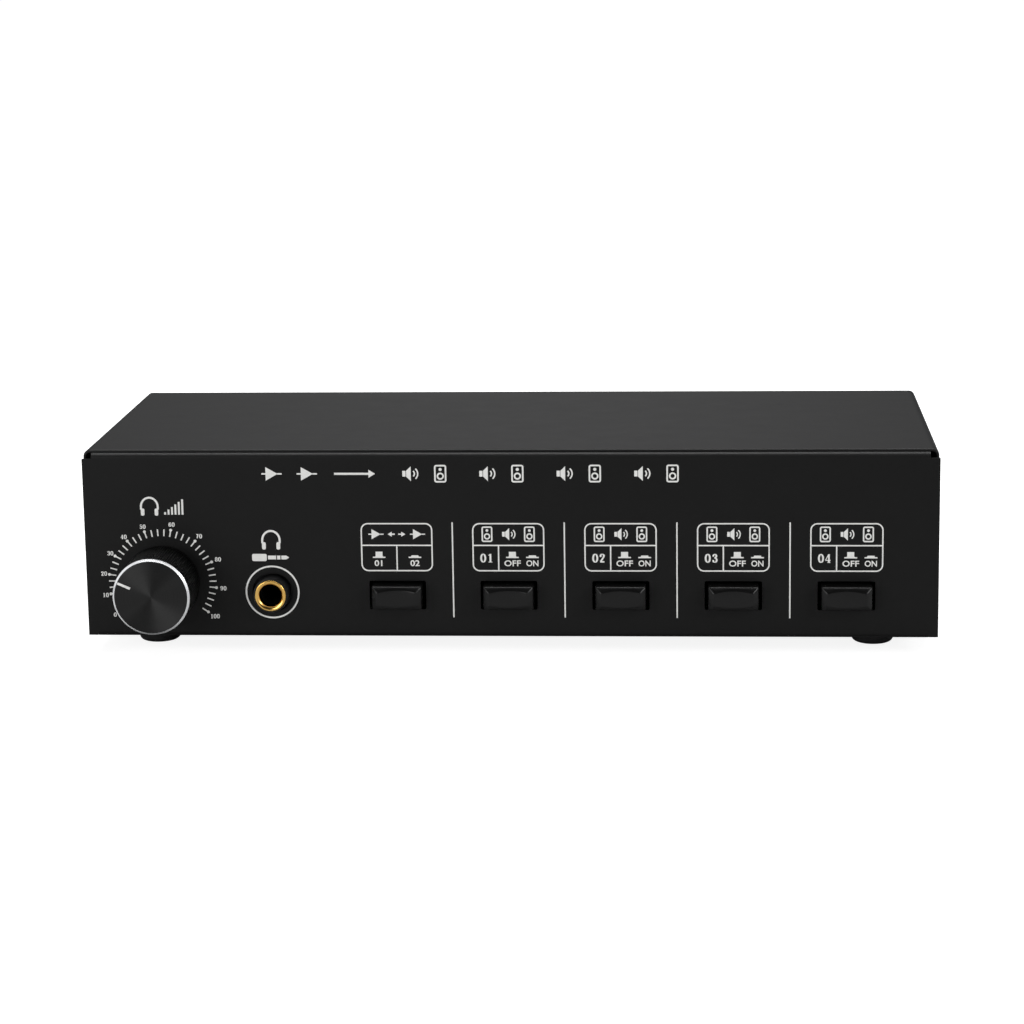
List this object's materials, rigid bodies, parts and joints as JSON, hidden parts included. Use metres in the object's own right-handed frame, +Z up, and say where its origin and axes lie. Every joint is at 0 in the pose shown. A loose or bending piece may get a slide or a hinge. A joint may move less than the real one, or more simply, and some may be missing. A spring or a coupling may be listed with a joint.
{
  "type": "speaker selector switch",
  "caption": "Desktop speaker selector box with a headphone volume knob and dial, a 6.35 mm jack, latching push buttons in front and screw-cap binding posts behind.",
  "frame": {"origin": "on the surface that the feet stand on, at the middle of the width and of the overall length", "axes": "+X to the right seen from the front, +Y from the front panel to the rear panel, +Z up"},
  "size_m": [0.2522, 0.1386, 0.061],
  "materials": {
    "powder_coated_chassis": "fine satin black powder coat",
    "powder_coated_cover": "fine satin black powder coat",
    "black_zinc_screws": "black zinc plate",
    "steel_screws": "bright zinc plate",
    "foot_rubber": "matt",
    "circuit_board": "solder resist",
    "connector_plastic": "moulded",
    "nickel_brass": "nickel plate",
    "control_body": "tin plate",
    "nickel_steel": "nickel plate",
    "jack_plastic": "moulded",
    "gilt_brass": "gold plate",
    "black_post_plastic": "polished moulding",
    "red_post_plastic": "polished moulding",
    "anodised_knob": "black anodised, spun face",
    "switch_housing": "moulded",
    "plunger_plastic": "moulded",
    "button_plastic": "polished moulding"
  },
  "bodies": {
    "housing": {"chassis": "powder_coated_chassis", "top_cover": "powder_coated_cover", "cover_screws": "black_zinc_screws", "rubber_feet": "foot_rubber", "foot_screws": "steel_screws", "main_board": "circuit_board", "board_standoffs": "nickel_brass", "board_screws": "steel_screws", "terminal_board": "circuit_board", "board_link": "connector_plastic", "pot_body": "control_body", "pot_nut": "nickel_steel", "jack_body": "jack_plastic", "jack_ring": "gilt_brass", "post_studs": "gilt_brass", "post_nuts": "nickel_steel", "black_post_bases": "black_post_plastic", "red_post_bases": "red_post_plastic", "switch_body_1": "switch_housing", "switch_body_2": "switch_housing", "switch_body_3": "switch_housing", "switch_body_4": "switch_housing", "switch_body_5": "switch_housing"},
    "volume_control": {"volume_knob": "anodised_knob", "knob_set_screw": "steel_screws", "pot_shaft": "nickel_steel"},
    "push_button_1": {"button_1": "button_plastic", "switch_plunger_1": "plunger_plastic"},
    "push_button_2": {"button_2": "button_plastic", "switch_plunger_2": "plunger_plastic"},
    "push_button_3": {"button_3": "button_plastic", "switch_plunger_3": "plunger_plastic"},
    "push_button_4": {"button_4": "button_plastic", "switch_plunger_4": "plunger_plastic"},
    "push_button_5": {"button_5": "button_plastic", "switch_plunger_5": "plunger_plastic"},
    "black_cap_01_body": {"black_cap_01": "black_post_plastic"},
    "black_cap_02_body": {"black_cap_02": "black_post_plastic"},
    "black_cap_03_body": {"black_cap_03": "black_post_plastic"},
    "black_cap_04_body": {"black_cap_04": "black_post_plastic"},
    "black_cap_05_body": {"black_cap_05": "black_post_plastic"},
    "black_cap_06_body": {"black_cap_06": "black_post_plastic"},
    "black_cap_07_body": {"black_cap_07": "black_post_plastic"},
    "black_cap_08_body": {"black_cap_08": "black_post_plastic"},
    "black_cap_09_body": {"black_cap_09": "black_post_plastic"},
    "black_cap_10_body": {"black_cap_10": "black_post_plastic"},
    "black_cap_11_body": {"black_cap_11": "black_post_plastic"},
    "black_cap_12_body": {"black_cap_12": "black_post_plastic"},
    "red_cap_01_body": {"red_cap_01": "red_post_plastic"},
    "red_cap_02_body": {"red_cap_02": "red_post_plastic"},
    "red_cap_03_body": {"red_cap_03": "red_post_plastic"},
    "red_cap_04_body": {"red_cap_04": "red_post_plastic"},
    "red_cap_05_body": {"red_cap_05": "red_post_plastic"},
    "red_cap_06_body": {"red_cap_06": "red_post_plastic"},
    "red_cap_07_body": {"red_cap_07": "red_post_plastic"},
    "red_cap_08_body": {"red_cap_08": "red_post_plastic"},
    "red_cap_09_body": {"red_cap_09": "red_post_plastic"},
    "red_cap_10_body": {"red_cap_10": "red_post_plastic"},
    "red_cap_11_body": {"red_cap_11": "red_post_plastic"},
    "red_cap_12_body": {"red_cap_12": "red_post_plastic"}
  },
  "joints": [
    {"name": "volume_turn", "type": "hinge", "parent": "housing", "child": "volume_control", "pos_m": [-0.1023, -0.05075, 0.0215], "axis": [0, 1, 0], "range_deg": [-57.5, 190.7]},
    {"name": "button_1_push", "type": "slide", "parent": "housing", "child": "push_button_1", "axis": [0, 1, 0], "range_m": [0, 0.0035], "stiffness_N_per_m": 300, "springref_m": -0.003},
    {"name": "button_2_push", "type": "slide", "parent": "housing", "child": "push_button_2", "axis": [0, 1, 0], "range_m": [0, 0.0035], "stiffness_N_per_m": 300, "springref_m": -0.003},
    {"name": "button_3_push", "type": "slide", "parent": "housing", "child": "push_button_3", "axis": [0, 1, 0], "range_m": [0, 0.0035], "stiffness_N_per_m": 300, "springref_m": -0.003},
    {"name": "button_4_push", "type": "slide", "parent": "housing", "child": "push_button_4", "axis": [0, 1, 0], "range_m": [0, 0.0035], "stiffness_N_per_m": 300, "springref_m": -0.003},
    {"name": "button_5_push", "type": "slide", "parent": "housing", "child": "push_button_5", "axis": [0, 1, 0], "range_m": [0, 0.0035], "stiffness_N_per_m": 300, "springref_m": -0.003},
    {"name": "black_cap_01_unscrew", "type": "hinge", "parent": "housing", "child": "black_cap_01_body", "pos_m": [-0.1045, 0.05255, 0.023], "axis": [0, 1, 0], "range_deg": [0, 1700]},
    {"name": "black_cap_02_unscrew", "type": "hinge", "parent": "housing", "child": "black_cap_02_body", "pos_m": [-0.0855, 0.05255, 0.023], "axis": [0, 1, 0], "range_deg": [0, 1700]},
    {"name": "black_cap_03_unscrew", "type": "hinge", "parent": "housing", "child": "black_cap_03_body", "pos_m": [-0.0665, 0.05255, 0.023], "axis": [0, 1, 0], "range_deg": [0, 1700]},
    {"name": "black_cap_04_unscrew", "type": "hinge", "parent": "housing", "child": "black_cap_04_body", "pos_m": [-0.0475, 0.05255, 0.023], "axis": [0, 1, 0], "range_deg": [0, 1700]},
    {"name": "black_cap_05_unscrew", "type": "hinge", "parent": "housing", "child": "black_cap_05_body", "pos_m": [-0.0285, 0.05255, 0.023], "axis": [0, 1, 0], "range_deg": [0, 1700]},
    {"name": "black_cap_06_unscrew", "type": "hinge", "parent": "housing", "child": "black_cap_06_body", "pos_m": [-0.0095, 0.05255, 0.023], "axis": [0, 1, 0], "range_deg": [0, 1700]},
    {"name": "black_cap_07_unscrew", "type": "hinge", "parent": "housing", "child": "black_cap_07_body", "pos_m": [0.0095, 0.05255, 0.023], "axis": [0, 1, 0], "range_deg": [0, 1700]},
    {"name": "black_cap_08_unscrew", "type": "hinge", "parent": "housing", "child": "black_cap_08_body", "pos_m": [0.0285, 0.05255, 0.023], "axis": [0, 1, 0], "range_deg": [0, 1700]},
    {"name": "black_cap_09_unscrew", "type": "hinge", "parent": "housing", "child": "black_cap_09_body", "pos_m": [0.0475, 0.05255, 0.023], "axis": [0, 1, 0], "range_deg": [0, 1700]},
    {"name": "black_cap_10_unscrew", "type": "hinge", "parent": "housing", "child": "black_cap_10_body", "pos_m": [0.0665, 0.05255, 0.023], "axis": [0, 1, 0], "range_deg": [0, 1700]},
    {"name": "black_cap_11_unscrew", "type": "hinge", "parent": "housing", "child": "black_cap_11_body", "pos_m": [0.0855, 0.05255, 0.023], "axis": [0, 1, 0], "range_deg": [0, 1700]},
    {"name": "black_cap_12_unscrew", "type": "hinge", "parent": "housing", "child": "black_cap_12_body", "pos_m": [0.1045, 0.05255, 0.023], "axis": [0, 1, 0], "range_deg": [0, 1700]},
    {"name": "red_cap_01_unscrew", "type": "hinge", "parent": "housing", "child": "red_cap_01_body", "pos_m": [-0.1045, 0.05255, 0.043], "axis": [0, 1, 0], "range_deg": [0, 1700]},
    {"name": "red_cap_02_unscrew", "type": "hinge", "parent": "housing", "child": "red_cap_02_body", "pos_m": [-0.0855, 0.05255, 0.043], "axis": [0, 1, 0], "range_deg": [0, 1700]},
    {"name": "red_cap_03_unscrew", "type": "hinge", "parent": "housing", "child": "red_cap_03_body", "pos_m": [-0.0665, 0.05255, 0.043], "axis": [0, 1, 0], "range_deg": [0, 1700]},
    {"name": "red_cap_04_unscrew", "type": "hinge", "parent": "housing", "child": "red_cap_04_body", "pos_m": [-0.0475, 0.05255, 0.043], "axis": [0, 1, 0], "range_deg": [0, 1700]},
    {"name": "red_cap_05_unscrew", "type": "hinge", "parent": "housing", "child": "red_cap_05_body", "pos_m": [-0.0285, 0.05255, 0.043], "axis": [0, 1, 0], "range_deg": [0, 1700]},
    {"name": "red_cap_06_unscrew", "type": "hinge", "parent": "housing", "child": "red_cap_06_body", "pos_m": [-0.0095, 0.05255, 0.043], "axis": [0, 1, 0], "range_deg": [0, 1700]},
    {"name": "red_cap_07_unscrew", "type": "hinge", "parent": "housing", "child": "red_cap_07_body", "pos_m": [0.0095, 0.05255, 0.043], "axis": [0, 1, 0], "range_deg": [0, 1700]},
    {"name": "red_cap_08_unscrew", "type": "hinge", "parent": "housing", "child": "red_cap_08_body", "pos_m": [0.0285, 0.05255, 0.043], "axis": [0, 1, 0], "range_deg": [0, 1700]},
    {"name": "red_cap_09_unscrew", "type": "hinge", "parent": "housing", "child": "red_cap_09_body", "pos_m": [0.0475, 0.05255, 0.043], "axis": [0, 1, 0], "range_deg": [0, 1700]},
    {"name": "red_cap_10_unscrew", "type": "hinge", "parent": "housing", "child": "red_cap_10_body", "pos_m": [0.0665, 0.05255, 0.043], "axis": [0, 1, 0], "range_deg": [0, 1700]},
    {"name": "red_cap_11_unscrew", "type": "hinge", "parent": "housing", "child": "red_cap_11_body", "pos_m": [0.0855, 0.05255, 0.043], "axis": [0, 1, 0], "range_deg": [0, 1700]},
    {"name": "red_cap_12_unscrew", "type": "hinge", "parent": "housing", "child": "red_cap_12_body", "pos_m": [0.1045, 0.05255, 0.043], "axis": [0, 1, 0], "range_deg": [0, 1700]}
  ]
}
